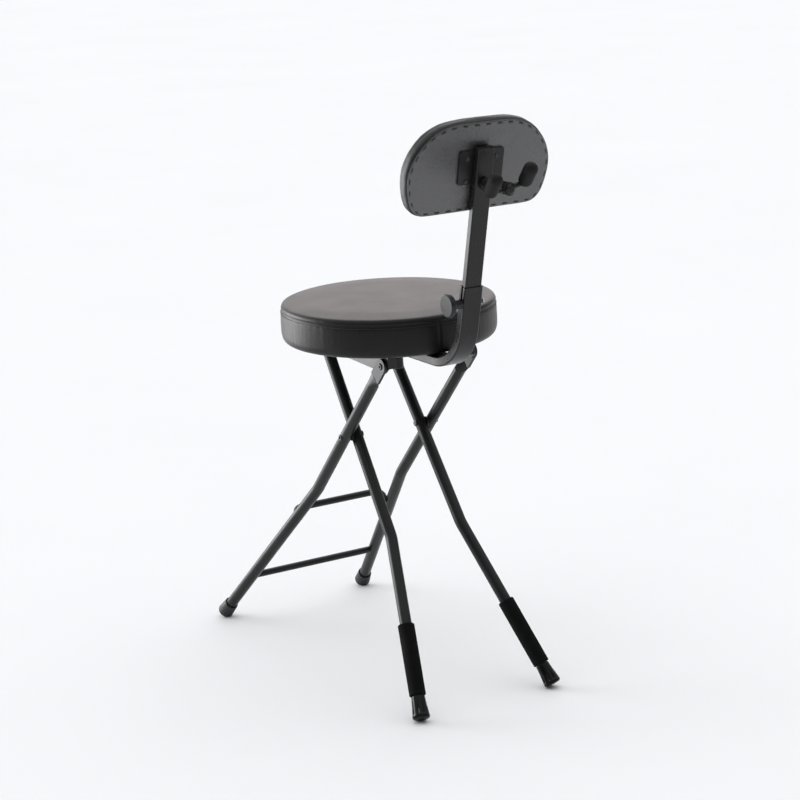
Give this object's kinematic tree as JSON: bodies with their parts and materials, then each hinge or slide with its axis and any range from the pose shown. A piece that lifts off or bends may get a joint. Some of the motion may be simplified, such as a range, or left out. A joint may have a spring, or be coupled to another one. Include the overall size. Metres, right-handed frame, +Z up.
{
  "type": "folding musician's stool with backrest and instrument hanger",
  "caption": "Folding stool with a round padded seat on crossed bent-tube legs, a padded backrest on a sliding flat post and a swivelling two-prong instrument hanger behind it.",
  "frame": {"origin": "on the floor at the middle of the outer box, under the seat's centre", "axes": "+Z up; the sitter faces -Y, so the backrest and hanger are at +Y; +X is the sitter's left"},
  "size_m": [0.383, 0.8693, 1.025],
  "materials": {
    "frame_black": "satin powder coat",
    "foot_rubber": "moulded",
    "foam_sleeve": "matte foam",
    "grip_rubber": "soft matte",
    "vinyl": "grained, low sheen",
    "vinyl_panel": "grained, low sheen",
    "plywood": "raw",
    "knob_plastic": "moulded",
    "plug_plastic": "moulded",
    "nylon": "smooth",
    "dark_steel": "black oxide",
    "zinc_steel": "zinc plated"
  },
  "bodies": {
    "front_frame": {"front_leg_left": "frame_black", "front_leg_right": "frame_black", "low_bar": "frame_black", "foot_rest": "frame_black", "front_foot_left": "foot_rubber", "front_foot_right": "foot_rubber", "cross_rivets": "dark_steel", "cross_washers": "nylon"},
    "rear_frame": {"rear_leg_left": "frame_black", "rear_leg_right": "frame_black", "top_bar": "frame_black", "sleeve_left": "foam_sleeve", "sleeve_right": "foam_sleeve", "rear_foot_left": "foot_rubber", "rear_foot_right": "foot_rubber"},
    "seat": {"seat_cushion": "vinyl", "seat_board": "plywood", "rail_left": "frame_black", "rail_right": "frame_black", "rail_screws": "zinc_steel", "hinge_rivets": "dark_steel", "hinge_washers": "nylon", "bar_stop_left": "plug_plastic", "bar_stop_right": "plug_plastic", "back_support": "frame_black", "mount_plate": "frame_black", "plate_screws": "zinc_steel", "clamp_nut": "dark_steel"},
    "clamp_knob": {"post_knob": "knob_plastic", "post_stud": "zinc_steel"},
    "seat_knob": {"under_knob": "knob_plastic", "under_stud": "zinc_steel"},
    "backrest": {"post": "frame_black", "post_cap": "plug_plastic", "back_plate": "frame_black", "back_screws": "dark_steel", "back_panel": "vinyl_panel", "back_board": "plywood", "back_pad": "vinyl", "hanger_stem": "frame_black"},
    "hanger": {"hanger_fork": "frame_black", "prong_grip_left": "grip_rubber", "prong_grip_right": "grip_rubber"}
  },
  "joints": [
    {"name": "seat_tilt", "type": "hinge", "parent": "front_frame", "child": "seat", "pos_m": [0, 0.1263, 0.589], "axis": [-1, 0, 0], "range_deg": [0, 88.8]},
    {"name": "leg_fold", "type": "hinge", "parent": "front_frame", "child": "rear_frame", "pos_m": [0, -0.0192, 0.43405], "axis": [-1, 0, 0], "range_deg": [0, 74]},
    {"name": "back_height", "type": "slide", "parent": "seat", "child": "backrest", "axis": [0, 0.2368, 0.9715], "range_m": [-0.014, 0.02]},
    {"name": "clamp_turn", "type": "hinge", "parent": "seat", "child": "clamp_knob", "pos_m": [0, 0.27245, 0.71093], "axis": [1, 0, 0], "continuous": true},
    {"name": "seat_knob_turn", "type": "hinge", "parent": "seat", "child": "seat_knob", "pos_m": [0, 0.018, 0.57], "axis": [0, 0, 1], "continuous": true},
    {"name": "hanger_swivel", "type": "hinge", "parent": "backrest", "child": "hanger", "pos_m": [0, 0.397, 0.916], "axis": [0, 1, 0], "range_deg": [-38.9, 21.1]}
  ],
  "couplings": [
    {"joint": "leg_fold", "follows": "seat_tilt", "ratio": 0.83333}
  ]
}
